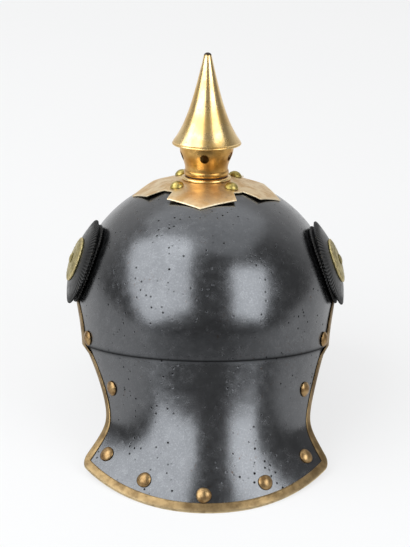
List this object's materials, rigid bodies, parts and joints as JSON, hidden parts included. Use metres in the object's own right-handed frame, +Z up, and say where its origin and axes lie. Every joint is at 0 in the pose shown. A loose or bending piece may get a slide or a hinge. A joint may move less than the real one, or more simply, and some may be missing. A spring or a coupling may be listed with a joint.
{
  "type": "military helmet",
  "caption": "Burnished steel spiked helmet with a flared neck guard, a visor, brass fittings, side cockades, chin scales and a leather liner.",
  "frame": {"origin": "centre of the box that the standing helmet fills, on the floor it stands on", "axes": "+Z up, +Y towards the forehead and the visor, +X towards the wearer's right; the helmet stands pitched forward on its tail and visor"},
  "size_m": [0.2148, 0.3296, 0.2763],
  "materials": {
    "burnished_steel": "burnished near-black steel with a satin sheen",
    "tarnished_brass": "brown tarnished brass edging",
    "copper_brass": "domed rivet heads worn to copper and gold",
    "matt_brass": "matt pale brass",
    "polished_brass": "polished golden brass",
    "plain_brass": "plain turned brass",
    "pale_brass": "pale olive brass",
    "black_paint": "glossy black paint",
    "black_leather": "black leather",
    "brown_leather": "dark brown leather",
    "liner_leather": "brown liner leather"
  },
  "bodies": {
    "helmet": {"skull": "burnished_steel", "neck_guard": "burnished_steel", "visor": "burnished_steel", "neck_guard_trim": "tarnished_brass", "visor_trim": "tarnished_brass", "neck_guard_rivets": "copper_brass", "rivet_burrs": "plain_brass", "visor_rivets": "copper_brass", "cross_base": "matt_brass", "base_collar": "polished_brass", "base_studs": "matt_brass", "base_stud_nuts": "plain_brass", "backing_left": "black_leather", "backing_right": "black_leather", "cockade_left": "black_paint", "cockade_right": "black_paint", "rosette_left": "pale_brass", "rosette_right": "pale_brass", "side_screws": "pale_brass", "side_nuts": "plain_brass", "chin_tab_left": "brown_leather", "chin_tab_right": "brown_leather", "chin_pivots": "matt_brass", "front_star": "matt_brass", "star_boss": "matt_brass", "star_studs": "matt_brass", "star_nuts": "plain_brass", "liner_band": "liner_leather", "liner_tongues": "liner_leather", "liner_lace": "liner_leather"},
    "spike_carrier": {"spike_washer": "brown_leather"},
    "spike": {"spike_thread": "plain_brass", "spike_neck": "polished_brass", "spike_cone": "polished_brass", "spike_tip": "polished_brass"},
    "chin_loop": {"chin_strap_left": "brown_leather", "chin_strap_right": "brown_leather", "chin_scales_left": "matt_brass", "chin_scales_right": "matt_brass", "buckle_frame": "matt_brass", "buckle_prong": "matt_brass", "strap_keeper": "brown_leather"}
  },
  "joints": [
    {"name": "spike_lift", "type": "slide", "parent": "helmet", "child": "spike_carrier", "axis": [0, 0.1886, 0.9821], "range_m": [0, 0.0075]},
    {"name": "spike_turn", "type": "hinge", "parent": "spike_carrier", "child": "spike", "pos_m": [0, 0.02728, 0.18045], "axis": [0, 0.1886, 0.9821], "range_deg": [0, 1800]},
    {"name": "chin_swing", "type": "hinge", "parent": "helmet", "child": "chin_loop", "pos_m": [0, 0.04129, 0.10139], "axis": [1, 0, 0], "range_deg": [0, 60]}
  ],
  "couplings": [
    {"joint": "spike_lift", "follows": "spike_turn", "m_per_rad": 0.0002387}
  ]
}
